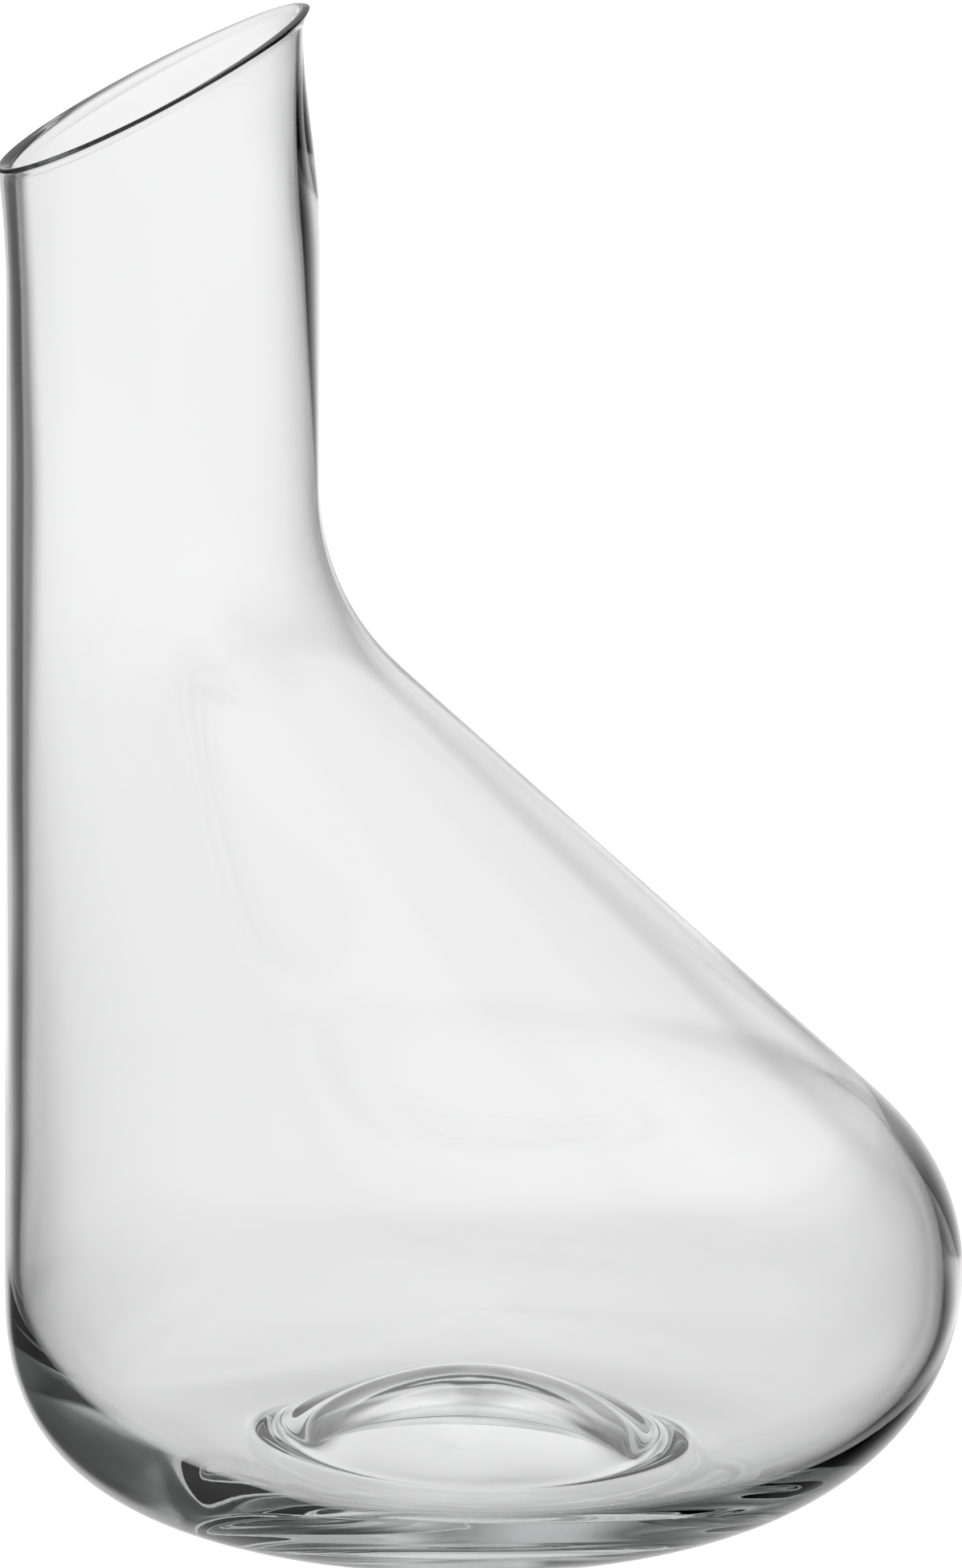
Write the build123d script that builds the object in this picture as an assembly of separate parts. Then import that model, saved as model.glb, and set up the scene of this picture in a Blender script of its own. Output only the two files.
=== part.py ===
"""Hand-blown wine decanter: one glass vessel with a straight back, a leaning bulb and a slanted mouth.

Millimetres. The origin is on the table plane, midway between the bulb's widest point and the lip's furthest
point. +Z is up, and the vessel is symmetrical about the XZ plane. Every level section is a circle, which the
two edges of the XZ outline set: the back edge, on -X, and the front edge, on +X.
"""

import os
from math import atan, cos, hypot, pi, radians, sin, sqrt, tan
from typing import NamedTuple

from build123d import *

# Overall sizes
TIP_HEIGHT = 272.0  # the mouth's high point, on the front edge, before its rim is rounded
BACK_REACH = 83.0  # from the foot ring's centre to the straight back
FRONT_REACH = 88.0  # from the foot ring's centre to the bulb's widest point

# Outside: front edge, from the mouth down
NECK_TOP_WIDTH = 53.0  # at TIP_HEIGHT, without the lip
NECK_LOW_WIDTH = 55.3  # at NECK_LOW_LEVEL
NECK_LOW_LEVEL = 192.0
SHOULDER_RADIUS = 45.5  # the hollow curve below the neck
SLOPE = 42.3  # degrees that the front falls below the horizontal
BULB_RADIUS = 36.2  # the curve from the slope to the widest point
BULB_LEVEL = 44.5  # level of the widest point
FRONT_POWER = 2.11  # squareness of the curve from the widest point to the foot

# Outside: back edge
HEEL_LEVEL = 39.0  # where the straight back starts to curve under
HEEL_POWER = 2.45

# Mouth
RIM_SLOPE = 28.0  # degrees that the rim falls towards the back
BACK_LIP = 1.6  # how far the mouth turns out at the back
BACK_LIP_RISE = 22.0  # the height over which it does
FRONT_LIP = 1.2
FRONT_LIP_RISE = 9.0
RIM_ROUND = 0.75  # radius of the rim's corners, where the wall is thick enough
RIM_ROUND_SHARE = 0.42  # and otherwise this share of the wall

# Glass thickness
BACK_WALL = 2.7
NECK_TOP_WALL = 2.0  # front of the neck, at the mouth
NECK_LOW_WALL = 1.25  # front of the neck, at NECK_LOW_LEVEL
SLOPE_WALL = 1.2
BULB_WALL = 3.0
FLOOR = 9.0  # in the valley round the inner dome
VALLEY_RADIUS = 43.0
INNER_HEEL_LEVEL = 42.0
INNER_HEEL_POWER = 2.2
INNER_FRONT_POWER = 2.2

# Foot: the ring that the vessel stands on, and the punt pushed up inside it
RING_RADIUS = 36.0
PUNT_RADIUS = 33.5
PUNT_HEIGHT = 17.0
PUNT_ROUND = 4.0  # where the punt turns into the ring
DOME_RADIUS = 41.0
DOME_HEIGHT = 15.0  # above the valley
DOME_ROUND = 8.0

LOFT_STEP = 6.0  # distance between the sections that each surface is lofted through
HEADROOM = 16.0  # how far the surfaces run on above the tip, to be cut off

BACK_X = -(BACK_REACH + FRONT_REACH - BACK_LIP) / 2
RING_X = BACK_X + BACK_REACH
FRONT_X = RING_X + FRONT_REACH
LIP_DROP = (BACK_LIP + NECK_TOP_WIDTH + FRONT_LIP) * tan(radians(RIM_SLOPE))
LIP_LEVEL = TIP_HEIGHT - LIP_DROP  # the mouth's low point, at the back


class Walls(NamedTuple):
    """Thickness of the glass at five places."""

    back: float
    neck_top: float
    neck_low: float
    slope: float
    bulb: float


class Outline:
    """Back and front edges of one surface, outside or inside, in the XZ plane."""

    def __init__(self, walls, floor, foot_radius, heel, heel_power, front_power):
        self.floor = floor
        self.foot_radius = foot_radius
        self.heel = heel
        self.heel_power = heel_power
        self.front_power = front_power
        self.back = BACK_X + walls.back
        self.neck = BACK_X + NECK_TOP_WIDTH - walls.neck_top
        neck_low = BACK_X + NECK_LOW_WIDTH - walls.neck_low
        self.lean = (neck_low - self.neck) / (TIP_HEIGHT - NECK_LOW_LEVEL)
        self.widest = FRONT_X - walls.bulb
        self.set_bulb(walls)
        self.set_shoulder(SHOULDER_RADIUS + walls.slope)

    def set_bulb(self, walls):
        """An arc from the widest point to the slope, each moved in by its own wall."""
        down = radians(SLOPE)
        self.bulb = BULB_RADIUS + (sin(down) * walls.bulb - walls.slope) / (1 - sin(down))
        self.bulb_x = self.widest - self.bulb
        self.slope_x = self.bulb_x + self.bulb * sin(down)
        self.slope_z = BULB_LEVEL + self.bulb * cos(down)

    def set_shoulder(self, radius):
        """An arc from the slope's line to the neck's line."""
        fall = 1 / tan(radians(SLOPE))
        neck_at_0 = self.neck + self.lean * TIP_HEIGHT
        slope_at_0 = self.slope_x + self.slope_z * fall
        corner_z = (slope_at_0 - neck_at_0) / (fall - self.lean)
        corner_x = neck_at_0 - self.lean * corner_z
        neck_angle = atan(self.lean)
        reach = radius * tan((pi / 2 - radians(SLOPE) - neck_angle) / 2)
        self.shoulder = radius
        self.shoulder_top = corner_z + reach * cos(neck_angle)
        self.shoulder_end = corner_z - reach * sin(radians(SLOPE))
        self.shoulder_x = corner_x - reach * sin(neck_angle) + radius * cos(neck_angle)
        self.shoulder_z = self.shoulder_top + radius * sin(neck_angle)

    def front_edge(self, z):
        """X of the front edge at level z: foot, bulb, slope, shoulder or neck."""
        if z >= self.shoulder_top:
            return self.neck + self.lean * (TIP_HEIGHT - z) + lip(z, TIP_HEIGHT, FRONT_LIP_RISE, FRONT_LIP)
        if z >= self.shoulder_end:
            return self.shoulder_x - sqrt(self.shoulder**2 - (self.shoulder_z - z) ** 2)
        if z >= self.slope_z:
            return self.slope_x + (self.slope_z - z) / tan(radians(SLOPE))
        if z >= BULB_LEVEL:
            return self.bulb_x + sqrt(self.bulb**2 - (z - BULB_LEVEL) ** 2)
        foot = RING_X + self.foot_radius
        depth = (BULB_LEVEL - z) / (BULB_LEVEL - self.floor)
        return foot + (self.widest - foot) * super_circle(depth, self.front_power)

    def back_edge(self, z):
        """X of the back edge at level z: heel, straight back or lip."""
        foot = RING_X - self.foot_radius
        depth = max(self.heel - z, 0) / (self.heel - self.floor)
        turned_out = lip(z, LIP_LEVEL, BACK_LIP_RISE, BACK_LIP)
        return foot + (self.back - foot) * super_circle(depth, self.heel_power) - turned_out

    def levels(self):
        """Levels LOFT_STEP apart along the front edge, from the floor to above the tip."""
        turns = [radians(90 - k / 4) for k in range(360)]
        heights = [BULB_LEVEL - (BULB_LEVEL - self.floor) * sin(a) ** (2 / self.front_power) for a in turns]
        rise = TIP_HEIGHT + HEADROOM - BULB_LEVEL
        heights += [BULB_LEVEL + rise * k / 2000 for k in range(2001)]
        walked = [0]
        for low, high in zip(heights, heights[1:]):
            step = hypot(high - low, self.front_edge(high) - self.front_edge(low))
            walked.append(walked[-1] + step)
        count = round(walked[-1] / LOFT_STEP)
        marks = [walked[-1] * k / count for k in range(count)]
        return [next(z for z, w in zip(heights, walked) if w >= mark) for mark in marks] + heights[-1:]

    def solid(self):
        """The closed volume inside this surface, from the floor to above the tip."""
        circles = []
        for z in self.levels():
            back, front = self.back_edge(z), self.front_edge(z)
            circles.append(Pos((back + front) / 2, 0, z) * Circle((front - back) / 2))
        return loft(circles)


def super_circle(depth, power):
    """From 1 at depth 0 to 0 at depth 1, upright at the first and level at the second."""
    return max(1 - depth**power, 0) ** (1 / power)


def lip(z, level, rise, amount):
    """How far the mouth turns out at z: nothing until rise below its level, amount at its level."""
    climbed = max(z - level + rise, 0) / rise
    return amount * 2 * climbed**2 / (1 + climbed**2)


def dome(radius, height, foot_round, base):
    """A round hill on the ring's axis: an arc over the top, and one that blends it into its base."""
    both = (radius**2 + height**2) / (2 * height)
    crown = both - foot_round
    half = atan(radius / (both - height)) / 2
    crown_z = base + height - crown
    foot_z = base + foot_round
    meet = (crown * sin(2 * half), crown_z + crown * cos(2 * half))
    crown_mid = (crown * sin(half), crown_z + crown * cos(half))
    foot_mid = (radius - foot_round * sin(half), foot_z - foot_round * cos(half))
    over = ThreePointArc((0, base + height), crown_mid, meet)
    blend = ThreePointArc(meet, foot_mid, (radius, base))
    under = Polyline((radius, base), (0, base), (0, base + height))
    hill = revolve(Plane.XZ * make_face([over, blend, under]), axis=Axis.Z)
    return Pos(RING_X, 0, 0) * hill


def rim_plane():
    """The plane of the slanted mouth, through its low point, with its normal up and out of the mouth."""
    fall = radians(RIM_SLOPE)
    low_point = (BACK_X - BACK_LIP, 0, LIP_LEVEL)
    return Plane(low_point, x_dir=(cos(fall), 0, sin(fall)), z_dir=(-sin(fall), 0, cos(fall)))


def glass_vessel():
    """The blown vessel: outside less inside, with a punt pushed up under it and a slanted mouth."""
    outside = Outline(Walls(0, 0, 0, 0, 0), 0, RING_RADIUS, HEEL_LEVEL, HEEL_POWER, FRONT_POWER)
    walls = Walls(BACK_WALL, NECK_TOP_WALL, NECK_LOW_WALL, SLOPE_WALL, BULB_WALL)
    inside = Outline(walls, FLOOR, VALLEY_RADIUS, INNER_HEEL_LEVEL, INNER_HEEL_POWER, INNER_FRONT_POWER)
    cavity = inside.solid() - dome(DOME_RADIUS, DOME_HEIGHT, DOME_ROUND, FLOOR)
    vessel = outside.solid() - cavity - dome(PUNT_RADIUS, PUNT_HEIGHT, PUNT_ROUND, 0)
    mouth = rim_plane()
    vessel = split(vessel, mouth, keep=Keep.BOTTOM)
    rim = [edge for edge in vessel.edges() if abs(mouth.to_local_coords(edge.center()).Z) < 0.01]
    return fillet(rim, min(RIM_ROUND, RIM_ROUND_SHARE * min(BACK_WALL, NECK_TOP_WALL)))


def main():
    os.makedirs("parts", exist_ok=True)
    vessel = glass_vessel()
    print(f"glass_vessel: {vessel.volume / 1000:.1f} ml of glass, valid {vessel.is_valid}")
    export_step(vessel, "parts/glass_vessel.step")


main()
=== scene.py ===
"""Looks of a hand-blown glass wine decanter, laid out as an add-on and run as a script.

Everything is in metres in the CAD model's own frame: the vessel stands on z = 0, its straight back faces -X and
its bulb leans towards +X. XZ is the plane of symmetry.
"""

from math import atan, cos, hypot, pi, radians, sin, sqrt, tan
from typing import NamedTuple

import bpy
from mathutils import Euler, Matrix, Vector


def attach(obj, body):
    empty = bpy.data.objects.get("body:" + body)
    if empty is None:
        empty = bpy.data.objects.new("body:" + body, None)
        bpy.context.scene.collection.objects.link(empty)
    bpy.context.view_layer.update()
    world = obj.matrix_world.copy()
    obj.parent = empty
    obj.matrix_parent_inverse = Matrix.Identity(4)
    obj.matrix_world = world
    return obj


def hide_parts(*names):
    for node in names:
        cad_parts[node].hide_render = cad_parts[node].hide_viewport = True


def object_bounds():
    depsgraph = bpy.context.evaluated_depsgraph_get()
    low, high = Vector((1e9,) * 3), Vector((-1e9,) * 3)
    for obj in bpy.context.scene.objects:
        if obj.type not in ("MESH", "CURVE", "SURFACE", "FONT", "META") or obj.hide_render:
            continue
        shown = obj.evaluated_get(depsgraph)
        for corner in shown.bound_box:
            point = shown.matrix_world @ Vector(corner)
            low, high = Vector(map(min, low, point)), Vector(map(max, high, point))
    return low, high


bl_info = {
    "name": "Blown Glass Decanter",
    "version": (1, 0, 0),
    "blender": (4, 5, 0),
    "location": "3D View > Sidebar > Decanter",
    "description": "Builds the looks of a blown wine decanter round its CAD model",
    "category": "Object",
}

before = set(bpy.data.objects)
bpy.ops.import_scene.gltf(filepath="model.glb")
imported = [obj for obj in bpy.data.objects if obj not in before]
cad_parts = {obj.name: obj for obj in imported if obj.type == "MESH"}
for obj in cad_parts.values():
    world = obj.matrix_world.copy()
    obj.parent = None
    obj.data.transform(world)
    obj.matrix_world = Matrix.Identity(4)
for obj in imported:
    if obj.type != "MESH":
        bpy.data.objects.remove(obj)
CAD_LOW, CAD_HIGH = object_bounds()
VESSEL = "glass_vessel"
MM = 0.001


# ---------------------------------------------------------------------------------------------- settings


def length(name, description, default):
    """A size in metres, given in millimetres."""
    return bpy.props.FloatProperty(name=name, description=description, default=default * MM, subtype="DISTANCE",
                                   unit="LENGTH", precision=5)


def angle(name, description, default):
    """An angle, given in degrees."""
    return bpy.props.FloatProperty(name=name, description=description, default=radians(default), subtype="ANGLE")


def number(name, description, default):
    return bpy.props.FloatProperty(name=name, description=description, default=default, precision=4)


def colour(name, description, default):
    return bpy.props.FloatVectorProperty(name=name, description=description, default=default, subtype="COLOR",
                                         size=4, min=0.0, max=1.0)


class DecanterSizes(bpy.types.PropertyGroup):
    """Sizes of the blown vessel."""

    back_reach: length("Back reach", "From the foot ring's centre to the straight back", 83.0)
    neck_top: length("Neck at the mouth", "Width of the neck at the tip of the mouth", 51.9)
    neck_low: length("Neck below", "Width of the neck at its low level", 55.3)
    neck_level: length("Neck level", "Level where the lower neck width is measured", 192.0)
    shoulder: length("Shoulder radius", "Hollow curve below the neck", 45.5)
    slope: angle("Slope", "Fall of the front below the neck", 42.3)
    bulb: length("Bulb radius", "Curve from the slope to the widest point", 36.2)
    bulb_level: length("Bulb level", "Level of the widest point", 44.5)
    front_power: number("Front squareness", "Power of the curve under the widest point", 2.06)
    heel_level: length("Heel level", "Level where the straight back curves under", 39.0)
    heel_power: number("Heel squareness", "Power of the curve under the back", 2.45)
    narrowing: length("Narrowing", "How far the front of the neck draws in towards the mouth", 3.2)
    narrowing_level: length("Narrowing level", "Level from which it does", 231.0)
    narrowing_rise: length("Narrowing rise", "Height over which it does", 37.0)
    rim_slope: angle("Rim slope", "Fall of the mouth towards the back", 27.3)
    back_lip: length("Back lip", "How far the mouth turns out at the back", 1.5)
    back_lip_rise: length("Back lip rise", "Height over which it does", 24.0)
    front_lip: length("Front lip", "How far the mouth turns out at the front and sides", 1.5)
    front_lip_rise: length("Front lip rise", "Height over which it does", 4.5)
    back_wall: length("Back wall", "Glass thickness of the straight back", 2.7)
    neck_top_wall: length("Mouth wall", "Glass thickness at the front of the mouth", 1.8)
    neck_low_wall: length("Neck wall", "Glass thickness at the front of the lower neck", 1.25)
    slope_wall: length("Slope wall", "Glass thickness of the slope", 1.1)
    bulb_wall: length("Bulb wall", "Glass thickness at the widest point", 3.0)
    floor: length("Floor", "Glass thickness in the valley round the dome", 9.0)
    valley: length("Valley radius", "Radius of the valley round the dome", 43.0)
    inner_heel_level: length("Inner heel level", "Level where the inside of the back curves under", 42.0)
    inner_power: number("Inner squareness", "Power of the curves down to the valley", 2.2)
    ring: length("Foot ring radius", "Outer radius of the ring that the vessel stands on", 34.5)
    punt: length("Punt radius", "Radius of the hollow under the vessel", 33.2)
    punt_height: length("Punt height", "Depth of the hollow under the vessel", 14.5)
    punt_round: length("Punt rounding", "Radius that turns the hollow into the ring", 8.0)
    dome_height: length("Dome height", "Height of the dome inside, above the valley", 14.6)
    dome_round: length("Dome rounding", "Radius that turns the dome into the valley", 8.0)
    waviness: length("Waviness", "How far the inside strays from a smooth wall", 0.2)
    segments: bpy.props.IntProperty(name="Segments", description="Points round each ring of the cage", default=34)


class GlassLook(bpy.types.PropertyGroup):
    """Finish of the glass."""

    tint: colour("Tint", "Colour of the glass", (0.993, 0.994, 0.994, 1.0))
    smoke: colour("Smoke", "Colour that thick glass takes", (0.88, 0.885, 0.885, 1.0))
    smoke_density: number("Smoke density", "Absorption, per metre of glass", 30.0)
    ior: number("Index of refraction", "Soda-lime glass", 1.52)
    polish: number("Polish", "Roughness where the glass is cleanest", 0.0)
    haze: number("Haze", "Roughness that the haze adds at most", 0.006)


class StudioSettings(bpy.types.PropertyGroup):
    """Floor, lights and camera."""

    floor_colour: colour("Floor", "Colour of the floor", (0.93, 0.93, 0.93, 1.0))
    floor_glow: number("Floor glow", "Brightness of the floor, which is lit from below", 0.95)
    sky: number("Sky strength", "Light from all round", 0.5)
    softbox: number("Softbox power", "Power of the overhead softbox in watts", 25.0)
    tent: number("Tent brightness", "Brightness of the light tent round the vessel", 1.0)
    distance: length("Camera distance", "From the camera to its aim", 2500.0)
    pitch: angle("Camera pitch", "How far the camera looks down", 12.8)
    roll: angle("Camera roll", "Turn of the camera about its own axis", 0.48)
    lens: number("Lens", "Focal length in millimetres", 324.1)


# ---------------------------------------------------------------------------------------- outline of glass


class Walls(NamedTuple):
    """Thickness of the glass at five places."""

    back: float
    neck_top: float
    neck_low: float
    slope: float
    bulb: float


class Ring(NamedTuple):
    """One ring of glass: its ends in the plane of symmetry, and its half width across that plane."""

    back_x: float
    back_z: float
    front_x: float
    front_z: float
    half_y: float


class Outline:
    """Back and front edges of one surface of the vessel, outside or inside, in the XZ plane."""

    def __init__(self, sizes, walls, floor, foot_radius, heel, heel_power, front_power):
        self.sizes = sizes
        self.floor = floor
        self.foot_radius = foot_radius
        self.heel = heel
        self.heel_power = heel_power
        self.front_power = front_power
        self.ring_x = straight_back(sizes) + sizes.back_reach
        self.back = straight_back(sizes) + walls.back
        self.tip = CAD_HIGH.z
        self.narrowing = sizes.narrowing if floor == 0 else 0  # on the outside only
        self.neck = straight_back(sizes) + sizes.neck_top + self.narrowing - walls.neck_top
        neck_low = straight_back(sizes) + sizes.neck_low - walls.neck_low
        self.lean = (neck_low - self.neck) / (self.tip - sizes.neck_level)
        self.widest = CAD_HIGH.x - walls.bulb
        self.set_bulb(walls)
        self.set_shoulder(sizes.shoulder + walls.slope)

    def set_bulb(self, walls):
        """An arc from the widest point to the slope, each moved in by its own wall."""
        down = self.sizes.slope
        self.bulb = self.sizes.bulb + (sin(down) * walls.bulb - walls.slope) / (1 - sin(down))
        self.bulb_x = self.widest - self.bulb
        self.slope_x = self.bulb_x + self.bulb * sin(down)
        self.slope_z = self.sizes.bulb_level + self.bulb * cos(down)

    def set_shoulder(self, radius):
        """An arc from the slope's line to the neck's line."""
        down = self.sizes.slope
        fall = 1 / tan(down)
        neck_at_0 = self.neck + self.lean * self.tip
        slope_at_0 = self.slope_x + self.slope_z * fall
        corner_z = (slope_at_0 - neck_at_0) / (fall - self.lean)
        corner_x = neck_at_0 - self.lean * corner_z
        neck_angle = atan(self.lean)
        reach = radius * tan((pi / 2 - down - neck_angle) / 2)
        self.shoulder = radius
        self.shoulder_top = corner_z + reach * cos(neck_angle)
        self.shoulder_end = corner_z - reach * sin(down)
        self.shoulder_x = corner_x - reach * sin(neck_angle) + radius * cos(neck_angle)
        self.shoulder_z = self.shoulder_top + radius * sin(neck_angle)

    def front_edge(self, z):
        """X of the front edge at level z: foot, bulb, slope, shoulder or neck."""
        level = self.sizes.bulb_level
        if z >= self.shoulder_top:
            return self.neck + self.lean * (self.tip - z) - self.narrowing * self.drawn_in(z)
        if z >= self.shoulder_end:
            return self.shoulder_x - sqrt(self.shoulder**2 - (self.shoulder_z - z) ** 2)
        if z >= self.slope_z:
            return self.slope_x + (self.slope_z - z) / tan(self.sizes.slope)
        if z >= level:
            return self.bulb_x + sqrt(self.bulb**2 - (z - level) ** 2)
        foot = self.ring_x + self.foot_radius
        return foot + (self.widest - foot) * super_circle((level - z) / (level - self.floor), self.front_power)

    def drawn_in(self, z):
        """Share of the narrowing at level z, easing from 0 to 1."""
        share = min(max((z - self.sizes.narrowing_level) / self.sizes.narrowing_rise, 0), 1)
        return share**2 * (3 - 2 * share)

    def back_edge(self, z):
        """X of the back edge at level z: heel or straight back."""
        foot = self.ring_x - self.foot_radius
        depth = max(self.heel - z, 0) / (self.heel - self.floor)
        return foot + (self.back - foot) * super_circle(depth, self.heel_power)

    def level_ring(self, z):
        back, front = self.back_edge(z), self.front_edge(z)
        return Ring(back, z, front, z, (front - back) / 2)

    def mouth_ring(self, back_z, front_z):
        """A slanted ring of the neck, between a level of its back and a level of its front."""
        rim_back, rim_front = rim_levels(self.sizes)
        back, front = self.back_edge(back_z), self.front_edge(front_z)
        mid = self.level_ring((back_z + front_z) / 2)
        off = (back + front - mid.back_x - mid.front_x) / 2
        back -= turned_out(rim_back - back_z, self.sizes.back_lip_rise, self.sizes.back_lip)
        side = turned_out(rim_front - front_z, self.sizes.front_lip_rise, self.sizes.front_lip)
        return Ring(back, back_z, front + side, front_z, sqrt(mid.half_y**2 - off**2) + side)

    def levels(self, step, top):
        """Levels an even step apart along the front edge, from the floor to top."""
        level = self.sizes.bulb_level
        turns = [radians(90 - k / 4) for k in range(360)]
        heights = [level - (level - self.floor) * sin(a) ** (2 / self.front_power) for a in turns]
        heights += [level + (top - level) * k / 2000 for k in range(2001)]
        walked = [0]
        for low, high in zip(heights, heights[1:]):
            walked.append(walked[-1] + hypot(high - low, self.front_edge(high) - self.front_edge(low)))
        count = round(walked[-1] / step)
        marks = [walked[-1] * k / count for k in range(count)]
        return [next(z for z, w in zip(heights, walked) if w >= mark) for mark in marks] + heights[-1:]


def super_circle(depth, power):
    """From 1 at depth 0 to 0 at depth 1, upright at the first and level at the second."""
    return max(1 - depth**power, 0) ** (1 / power)


def turned_out(below, rise, amount):
    """How far the mouth turns out at a distance below the rim."""
    return amount * max(1 - below / rise, 0) ** 2


def straight_back(sizes):
    """X of the outside of the straight back."""
    return CAD_LOW.x + sizes.back_lip + INSIDE_CAD


def rim_levels(sizes):
    """Levels of the rim, at the back and at the front."""
    front = CAD_HIGH.z - INSIDE_CAD
    width = sizes.neck_top + sizes.back_lip + sizes.front_lip
    return front - width * tan(sizes.rim_slope), front


def dome_profile(radius, height, foot_round, base, steps):
    """(radius, level) from the top of a round hill down to its level foot: a crown arc, then a blend arc."""
    both = (radius**2 + height**2) / (2 * height)
    crown = both - foot_round
    turn = atan(radius / (both - height))
    points = []
    for k in range(1, steps + 1):
        a = turn * k / steps
        points.append((crown * sin(a), base + height - crown + crown * cos(a)))
    for k in range(1, steps // 2 + 1):
        a = turn * (1 - k / (steps // 2))
        points.append((radius - foot_round * sin(a), base + foot_round - foot_round * cos(a)))
    return points


CAGE_STEP = 5.5 * MM  # distance between the cage's rings along the front
POLE_RADIUS = 1.5 * MM  # the first and last rings
WAVE_SCALE = 0.045  # size of the waves in the wall
LEVEL_ENOUGH = 1e-6  # tilt, in radians, below which a ring is level
INSIDE_CAD = 0.05 * MM  # how far the looks stay inside the CAD model's box
MOUTH_START = 190.0 * MM  # level from which the rings tilt towards the rim
MOUTH_RINGS = 16
MOUTH_CROWDING = 1.2  # above 1, these rings lie closer together towards the rim
DOME_INSET = 1 * MM  # from the valley's radius in to the dome's foot
DOME_STEPS = 12
PUNT_STEPS = 10
# Round the rim: share of the wall crossed, from outside to inside, and depth below the rim in millimetres
RIM = ((0, 2.0), (0, 1.1), (0, 0.55), (0.03, 0.25), (0.12, 0.06), (0.3, 0.0), (0.68, 0.0), (0.86, 0.07), (0.96, 0.28),
       (1, 0.6), (1, 1.2), (1, 2.1))


def surfaces(sizes):
    """The outside and the inside of the vessel."""
    outside = Outline(sizes, Walls(0, 0, 0, 0, 0), 0, sizes.ring, sizes.heel_level, sizes.heel_power,
                      sizes.front_power)
    walls = Walls(sizes.back_wall, sizes.neck_top_wall, sizes.neck_low_wall, sizes.slope_wall, sizes.bulb_wall)
    inside = Outline(sizes, walls, sizes.floor, sizes.valley, sizes.inner_heel_level, sizes.inner_power,
                     sizes.inner_power)
    return outside, inside


def wall_rings(surface):
    """Rings of one surface from its foot to just under the rim."""
    rings = [surface.level_ring(z) for z in surface.levels(CAGE_STEP, MOUTH_START)]
    rim_back, rim_front = rim_levels(surface.sizes)
    for k in range(1, MOUTH_RINGS):
        share = 1 - (1 - k / MOUTH_RINGS) ** MOUTH_CROWDING
        rings.append(surface.mouth_ring(MOUTH_START + (rim_back - MOUTH_START) * share,
                                        MOUTH_START + (rim_front - MOUTH_START) * share))
    return rings


def rim_rings(sizes, outside, inside):
    """Rings over the flat rim and its two softened corners."""
    rim_back, rim_front = rim_levels(sizes)
    rings = []
    for share, depth in RIM:
        at = rim_back - depth * MM, rim_front - depth * MM
        outer, inner = outside.mouth_ring(*at), inside.mouth_ring(*at)
        rings.append(Ring(*(a + (b - a) * share for a, b in zip(outer, inner))))
    return rings


def round_rings(ring_x, profile):
    """Level rings about the foot ring's centre."""
    return [Ring(ring_x - r, z, ring_x + r, z, r) for r, z in profile]


def vessel_rings(sizes):
    """All the cage's rings: under the punt, out and up the outside, over the rim, and down to the dome's top."""
    outside, inside = surfaces(sizes)
    dome_foot = sizes.valley - DOME_INSET
    dome = dome_profile(dome_foot, sizes.dome_height, sizes.dome_round, sizes.floor, DOME_STEPS)
    punt = dome_profile(sizes.punt, sizes.punt_height, sizes.punt_round, 0, PUNT_STEPS)
    under = round_rings(outside.ring_x, [(POLE_RADIUS, sizes.punt_height)] + punt)
    over = round_rings(outside.ring_x, [(POLE_RADIUS, sizes.floor + sizes.dome_height)] + dome)
    rings = under + wall_rings(outside) + rim_rings(sizes, outside, inside)
    first_inside = len(rings)
    rings += wall_rings(inside)[::-1] + over[::-1]
    return rings, first_inside


# ----------------------------------------------------------------------------------------- modelling


def only(piece):
    """Selects one object and makes it active."""
    bpy.ops.object.select_all(action="DESELECT")
    piece.select_set(True)
    bpy.context.view_layer.objects.active = piece


def add_modifier(piece, kind, **settings):
    """Adds a modifier, sets it and applies it."""
    only(piece)
    modifier = piece.modifiers.new(kind.title(), kind)
    for name, value in settings.items():
        setattr(modifier, name, value)
    bpy.ops.object.modifier_apply(modifier=modifier.name)


def blow_rings(name, rings, segments):
    """A closed skin through rings: a circle extruded from each ring to the next, and both ends filled."""
    left = (2 + cos(2 * pi / segments)) / 3  # radius that subdivision leaves of a ring of radius 1
    bpy.ops.object.select_all(action="DESELECT")
    bpy.ops.mesh.primitive_circle_add(vertices=segments, radius=1, fill_type="NOTHING",
                                      location=(0, 0, 0), rotation=(0, 0, pi / segments))
    piece = bpy.context.object
    piece.name = name
    piece.data.name = name
    bpy.ops.object.transform_apply(location=True, rotation=True, scale=True)
    bpy.ops.object.mode_set(mode="EDIT")
    bpy.ops.mesh.select_all(action="SELECT")
    held = Ring(-left, 0, left, 0, left)
    for ring in rings:
        if ring is not rings[0]:
            bpy.ops.mesh.extrude_region_move()
        place_ring(held, ring)
        held = ring
    bpy.ops.mesh.edge_face_add()
    bpy.ops.mesh.select_all(action="DESELECT")
    bpy.ops.object.mode_set(mode="OBJECT")
    for vertex in piece.data.vertices[:segments]:
        vertex.select = True
    bpy.ops.object.mode_set(mode="EDIT")
    bpy.ops.mesh.select_mode(type="VERT")
    bpy.ops.mesh.edge_face_add()
    bpy.ops.mesh.select_all(action="SELECT")
    bpy.ops.mesh.normals_make_consistent(inside=False)
    bpy.ops.object.mode_set(mode="OBJECT")
    return piece


def ring_frame(ring):
    """Centre, half length in the plane of symmetry, and tilt of a ring."""
    centre = Vector(((ring.back_x + ring.front_x) / 2, 0, (ring.back_z + ring.front_z) / 2))
    run, rise = ring.front_x - ring.back_x, ring.front_z - ring.back_z
    return centre, hypot(run, rise) / 2, atan(rise / run)


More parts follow.
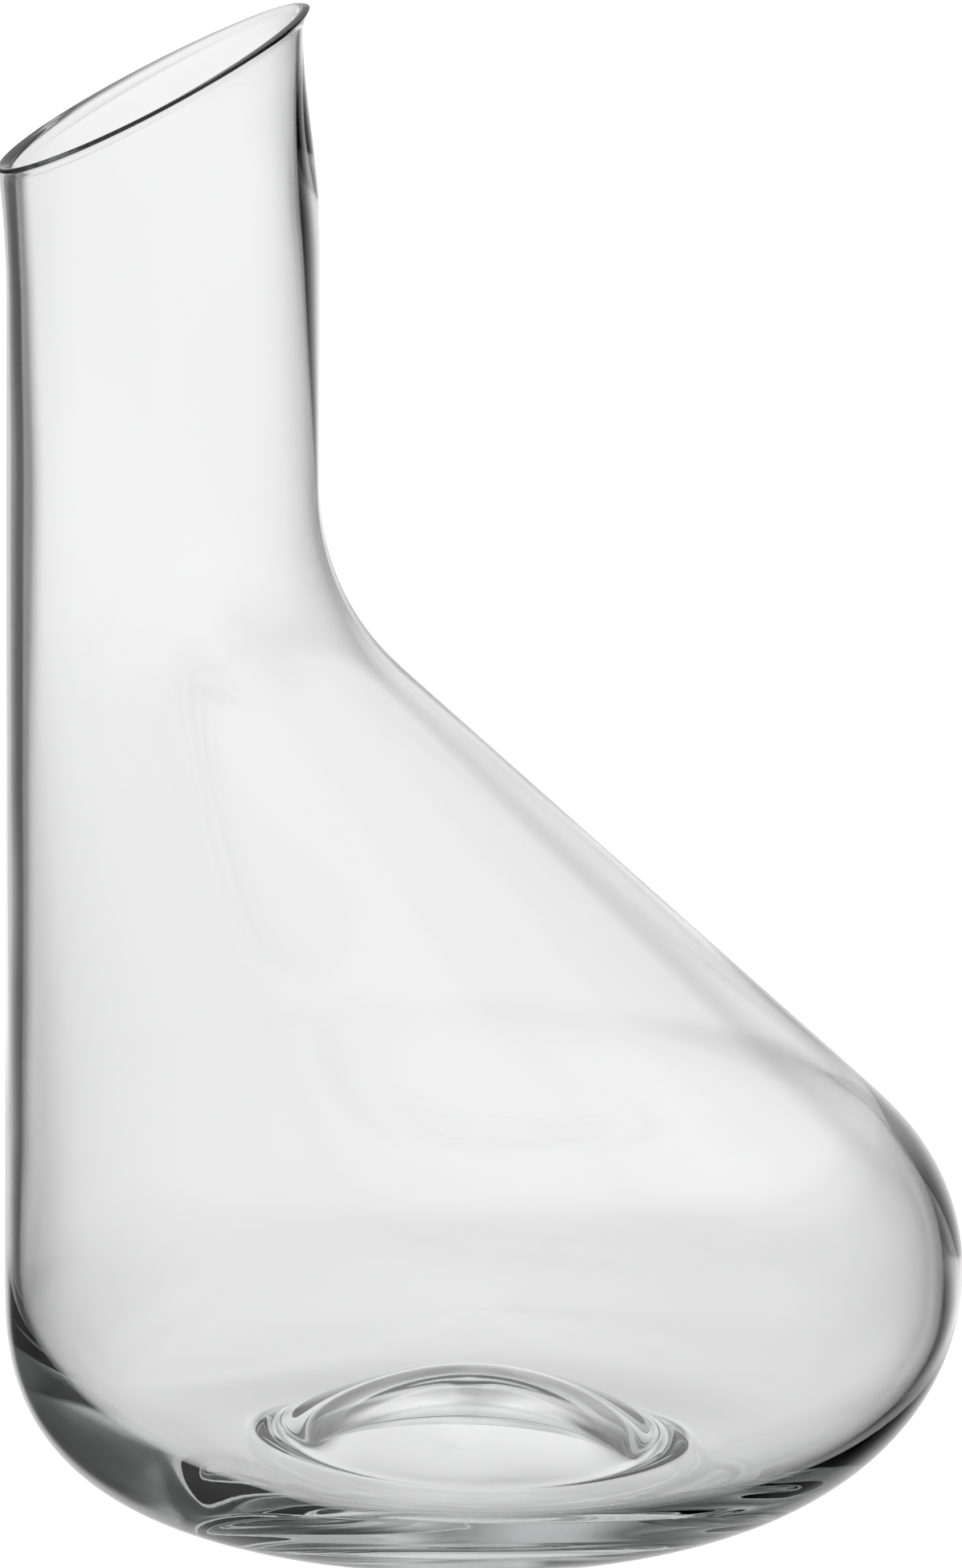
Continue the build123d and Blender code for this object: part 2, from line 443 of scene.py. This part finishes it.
def place_ring(held, ring):
    """Levels the selected ring, sizes it, tilts it and moves it to where it belongs."""
    here, half, tilt = ring_frame(held)
    there, new_half, new_tilt = ring_frame(ring)
    if abs(tilt) > LEVEL_ENOUGH:
        bpy.ops.transform.rotate(value=-tilt, orient_axis="Y", center_override=here)
    growth = (new_half / half, ring.half_y / held.half_y, 1)
    bpy.ops.transform.resize(value=growth, center_override=here)
    if abs(new_tilt) > LEVEL_ENOUGH:
        bpy.ops.transform.rotate(value=new_tilt, orient_axis="Y", center_override=here)
    bpy.ops.transform.translate(value=there - here)


def wave_wall(piece, group, strength):
    """Makes part of a wall stray slowly in and out, as blown glass does."""
    texture = bpy.data.textures.new(f"{piece.name}_{group}", "CLOUDS")
    texture.noise_scale = WAVE_SCALE
    texture.noise_depth = 1
    texture.noise_basis = "ORIGINAL_PERLIN"
    add_modifier(piece, "DISPLACE", texture=texture, strength=strength, mid_level=0.5, vertex_group=group,
                 texture_coords="LOCAL", direction="NORMAL")


# ----------------------------------------------------------------------------------------- materials


class Value:
    """A node socket that Python's operators do maths on."""

    def __init__(self, nodes, socket):
        self.nodes = nodes
        self.socket = socket

    def math(self, operation, *others):
        return self.nodes.add("ShaderNodeMath", {"operation": operation}, [self, *others])

    def __add__(self, other):
        return self.math("ADD", other)

    __radd__ = __add__

    def __mul__(self, other):
        return self.math("MULTIPLY", other)

    __rmul__ = __mul__


class Nodes:
    """A material's or a world's node tree, cleared, with one method that adds any node."""

    def __init__(self, owner):
        owner.use_nodes = True
        self.tree = owner.node_tree
        self.tree.nodes.clear()

    def add(self, kind, settings=None, inputs=None, output=0):
        """Adds a node, sets it, then fills or links its sockets; returns one output."""
        node = self.tree.nodes.new(kind)
        for name, value in (settings or {}).items():
            if name == "stops":
                for element, (at, shade) in zip(ramp_elements(node, len(value)), value):
                    element.position = at
                    element.color = shade
            else:
                setattr(node, name, value)
        pairs = enumerate(inputs) if isinstance(inputs, list) else (inputs or {}).items()
        for key, value in pairs:
            if isinstance(value, Value):
                self.tree.links.new(value.socket, node.inputs[key])
            else:
                node.inputs[key].default_value = value
        return Value(self, node.outputs[output]) if len(node.outputs) else None


def ramp_elements(node, count):
    """A colour ramp's stops, with as many as are wanted."""
    elements = node.color_ramp.elements
    while len(elements) < count:
        elements.new(0.5)
    return elements


def grey(level):
    return (level, level, level, 1.0)


def clear_glass(look):
    """Clear soda-lime glass: faintly smoky where it is thick, with a breath of haze on its polish."""
    material = bpy.data.materials.new("clear_glass")
    nodes = Nodes(material)
    place = nodes.add("ShaderNodeTexCoord", output="Object")
    haze = nodes.add("ShaderNodeTexNoise", {}, {"Vector": place, "Scale": 22.0, "Detail": 3.0, "Roughness": 0.55})
    tint = nodes.add("ShaderNodeValToRGB", {"stops": [
        (0.3, tuple(c * 0.996 for c in look.tint[:3]) + (1.0,)),
        (0.7, tuple(look.tint)),
    ]}, {"Fac": haze})
    shader = nodes.add("ShaderNodeBsdfPrincipled", {}, {
        "Base Color": tint,
        "Roughness": haze * look.haze + look.polish,
        "IOR": look.ior,
        "Transmission Weight": 1.0,
    })
    smoke = nodes.add("ShaderNodeVolumeAbsorption", {}, {"Color": tuple(look.smoke), "Density": look.smoke_density})
    nodes.add("ShaderNodeOutputMaterial", {}, {"Surface": shader, "Volume": smoke})
    return material


def floor_paint(studio):
    """Matt paper."""
    material = bpy.data.materials.new("floor_paper")
    nodes = Nodes(material)
    place = nodes.add("ShaderNodeTexCoord", output="Object")
    grain = nodes.add("ShaderNodeTexNoise", {}, {"Vector": place, "Scale": 3.0, "Detail": 2.0})
    shade = nodes.add("ShaderNodeValToRGB", {"stops": [
        (0.3, tuple(c * 0.99 for c in studio.floor_colour[:3]) + (1.0,)),
        (0.7, tuple(studio.floor_colour)),
    ]}, {"Fac": grain})
    shader = nodes.add("ShaderNodeBsdfPrincipled", {}, {
        "Base Color": shade,
        "Roughness": 0.9,
        "Specular IOR Level": 0.0,
        "Emission Color": shade,
        "Emission Strength": studio.floor_glow,
    })
    nodes.add("ShaderNodeOutputMaterial", {}, {"Surface": shader})
    return material


def tent_glow(studio):
    """The studio as the glass sees it: a lit backdrop, dark boards beside it, and a pale room round them."""
    material = bpy.data.materials.new("light_tent")
    nodes = Nodes(material)
    place = nodes.add("ShaderNodeTexCoord", output="Object")
    way = nodes.add("ShaderNodeVectorMath", {"operation": "NORMALIZE"}, [place])
    split = nodes.add("ShaderNodeSeparateXYZ", {}, [way], output="X")
    up = Value(nodes, split.socket.node.outputs["Y"])
    back = Value(nodes, split.socket.node.outputs["Z"])
    across = split.math("ARCTAN2", back * -1) * (180 / pi)
    rise = up.math("ARCSINE") * (180 / pi)
    glow = 0
    for board in TENT.values():
        sideways = brightness_along(nodes, across, 180, board["sideways"])
        upwards = brightness_along(nodes, rise, 90, board["upwards"])
        glow = sideways * upwards * studio.tent + glow
    shader = nodes.add("ShaderNodeEmission", {}, {"Color": grey(1.0), "Strength": glow})
    nodes.add("ShaderNodeOutputMaterial", {}, {"Surface": shader})
    return material


def brightness_along(nodes, degrees, limit, stops):
    """Brightness against an angle between -limit and limit, from a list of (angle, brightness)."""
    along = degrees * (0.5 / limit) + 0.5
    ramp = [(0.5 + 0.5 * at / limit, grey(level)) for at, level in stops]
    return nodes.add("ShaderNodeValToRGB", {"stops": ramp}, {"Fac": along})


# Brightness of the light tent, seen from its centre: a sum of boards, each the product of its brightness at angles in
# degrees round from straight ahead to the right, and up from straight ahead
TENT = {
    "room": {
        "sideways": ((-180, 0.99), (-150, 0.98), (-100, 0.75), (-67.5, 0.68), (-48.5, 0.36), (-30, 0.38),
                     (-25, 0.32), (-21.5, 0.32), (-12, 0.38), (-7.5, 0.16), (-2.5, 0.23), (2.5, 0), (9.5, 0),
                     (12.5, 0.08), (18.5, 0.05), (22.5, 0), (37.5, 0), (48.5, 0.24), (67.5, 0.54), (100, 0.68),
                     (150, 1), (180, 0.99)),
        "upwards": ((-90, 0.94), (-75, 0.94), (-50, 1), (-34, 0.78), (-23, 0.47), (-13.5, 0.47), (0, 0.07),
                    (6, 0), (16, 0), (20.5, 0.03), (25.5, 0.21), (34, 0.27), (50, 0.22), (75, 0.34), (90, 0.34)),
    },
    "backdrop": {
        "sideways": ((-180, 1), (-150, 0.95), (-100, 0.75), (-67.5, 0.5), (-48.5, 0.15), (-37.5, 0.01),
                     (-21.5, 0), (-18.5, 0.05), (-15.5, 0.6), (-12, 1), (-2.5, 0.93), (2.5, 1), (6.5, 1),
                     (9.5, 0.97), (12.5, 0.9), (18.5, 0.5), (22.5, 0.2), (29, 0), (67.5, 0), (100, 0.7),
                     (150, 0.95), (180, 1)),
        "upwards": ((-90, 0), (-50, 0), (-34, 0.15), (-23, 0.5), (-13.5, 0.66), (-6, 0.85), (0, 0.93),
                    (6, 0.85), (11.5, 0.56), (16, 0.37), (20.5, 0.05), (25.5, 0), (34, 0.02), (50, 0.32),
                    (75, 0.45), (90, 0.45)),
    },
    "top": {
        "sideways": ((-180, 0.45), (-150, 0.42), (-100, 0.2), (-67.5, 0.01), (-48.5, 0.1), (-37.5, 0.52),
                     (-30, 0.85), (-25, 0.94), (-21.5, 0.97), (-15.5, 0.91), (-12, 0.8), (-7.5, 0.72),
                     (-2.5, 0.52), (2.5, 0.43), (6.5, 0.51), (15.5, 0.93), (18.5, 1), (22.5, 0.93), (29, 0.66),
                     (37.5, 0.07), (48.5, 0), (67.5, 0), (100, 0.2), (150, 0.42), (180, 0.45)),
        "upwards": ((-90, 0.05), (-75, 0.05), (-50, 0), (-34, 0.12), (-23, 0), (-6, 0), (0, 0.08), (6, 0.2),
                    (11.5, 0.35), (16, 0.7), (20.5, 0.9), (25.5, 0.95), (34, 0.96), (50, 0.92), (75, 1), (90, 1)),
    },
    "corner": {
        "sideways": ((-180, 0), (26, 0), (38, 0.7), (80, 0.7), (120, 0), (180, 0)),
        "upwards": ((-90, 0), (27, 0), (33, 1), (90, 1)),
    },
}
TENT_RADIUS = 40.0
FLOOR_REACH = 30.0
AIM = Vector((-0.0005, 0, 0.1322))  # the point that the camera looks at
SOFTBOX_HEIGHT = 2.4
SOFTBOX_WIDTH = 2.0


# ----------------------------------------------------------------------------------------- operators


class DECANTER_OT_vessel(bpy.types.Operator):
    """Blow the glass vessel: one closed skin with its rim, walls, foot ring and punt"""

    bl_idname = "decanter.vessel"
    bl_label = "Glass Vessel"

    def execute(self, context):
        sizes = context.scene.decanter_sizes
        rings, first_inside = vessel_rings(sizes)
        piece = blow_rings("blown_vessel", rings, sizes.segments)
        inside = piece.vertex_groups.new(name="inside")
        inside.add(list(range(first_inside * sizes.segments, len(piece.data.vertices))), 1.0, "REPLACE")
        add_modifier(piece, "SUBSURF", levels=2, render_levels=2)
        wave_wall(piece, "inside", sizes.waviness)
        only(piece)
        bpy.ops.object.shade_smooth()
        piece.data.materials.append(clear_glass(context.scene.decanter_glass))
        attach(piece, "root")
        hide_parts(VESSEL)
        return {"FINISHED"}


class DECANTER_OT_studio(bpy.types.Operator):
    """Set out the floor, the lights and the camera"""

    bl_idname = "decanter.studio"
    bl_label = "Studio"

    def execute(self, context):
        studio = context.scene.decanter_studio
        bpy.ops.object.select_all(action="DESELECT")
        bpy.ops.mesh.primitive_plane_add(size=2 * FLOOR_REACH, location=(0, 0, 0))
        paper = context.object
        paper.name = "paper_floor"
        paper.data.materials.append(floor_paint(studio))
        paper.visible_transmission = False
        paper.visible_glossy = False
        camera = place_camera(studio)
        hang_tent(studio, camera)
        light_studio(studio)
        return {"FINISHED"}


def place_camera(studio):
    """A long lens that looks down a little at the middle of the vessel."""
    back = Vector((0, -cos(studio.pitch), sin(studio.pitch)))
    bpy.ops.object.camera_add(location=AIM + back * studio.distance)
    camera = bpy.context.object
    camera.name = "camera"
    down = Euler((pi / 2 - studio.pitch, 0, 0)).to_matrix()
    camera.rotation_euler = (down @ Euler((0, 0, studio.roll)).to_matrix()).to_euler()
    camera.data.lens = studio.lens
    camera.data.sensor_width = 36.0
    camera.data.clip_start = 0.05
    camera.data.clip_end = 60.0
    bpy.context.scene.camera = camera
    return camera


def hang_tent(studio, camera):
    """A light tent, fixed in the studio and centred where the camera first stands, with its backdrop ahead."""
    bpy.ops.object.select_all(action="DESELECT")
    bpy.ops.mesh.primitive_uv_sphere_add(segments=64, ring_count=32, radius=TENT_RADIUS,
                                         location=camera.location, rotation=camera.rotation_euler)
    tent = bpy.context.object
    tent.name = "light_tent"
    tent.data.materials.append(tent_glow(studio))
    tent.visible_camera = False
    tent.visible_diffuse = False
    tent.visible_shadow = False
    tent.visible_volume_scatter = False


def light_studio(studio):
    """Even light from all round, and one softbox overhead."""
    world = bpy.data.worlds.new("studio_air")
    bpy.context.scene.world = world
    nodes = Nodes(world)
    air = nodes.add("ShaderNodeBackground", {}, {"Color": grey(1.0), "Strength": studio.sky})
    nodes.add("ShaderNodeOutputWorld", {}, {"Surface": air})
    bpy.ops.object.light_add(type="AREA", location=(0, 0, SOFTBOX_HEIGHT))
    box = bpy.context.object
    box.name = "softbox"
    box.data.shape = "DISK"
    box.data.size = SOFTBOX_WIDTH
    box.data.energy = studio.softbox
    box.visible_transmission = False
    box.visible_glossy = False
    scene = bpy.context.scene
    scene.view_settings.view_transform = "Standard"
    scene.cycles.max_bounces = 32
    scene.cycles.transmission_bounces = 32
    scene.cycles.glossy_bounces = 16


class DECANTER_PT_sidebar(bpy.types.Panel):
    bl_idname = "DECANTER_PT_sidebar"
    bl_label = "Decanter"
    bl_space_type = "VIEW_3D"
    bl_region_type = "UI"
    bl_category = "Decanter"

    def draw(self, context):
        for operator in (DECANTER_OT_vessel, DECANTER_OT_studio):
            self.layout.operator(operator.bl_idname)


CLASSES = (DecanterSizes, GlassLook, StudioSettings, DECANTER_OT_vessel, DECANTER_OT_studio, DECANTER_PT_sidebar)
SETTINGS = {"decanter_sizes": DecanterSizes, "decanter_glass": GlassLook, "decanter_studio": StudioSettings}


def register():
    for each in CLASSES:
        bpy.utils.register_class(each)
    for name, group in SETTINGS.items():
        setattr(bpy.types.Scene, name, bpy.props.PointerProperty(type=group))


def unregister():
    for name in SETTINGS:
        delattr(bpy.types.Scene, name)
    for each in reversed(CLASSES):
        bpy.utils.unregister_class(each)


def main():
    register()
    bpy.ops.decanter.vessel()
    bpy.ops.decanter.studio()


if __name__ == "__main__":
    main()
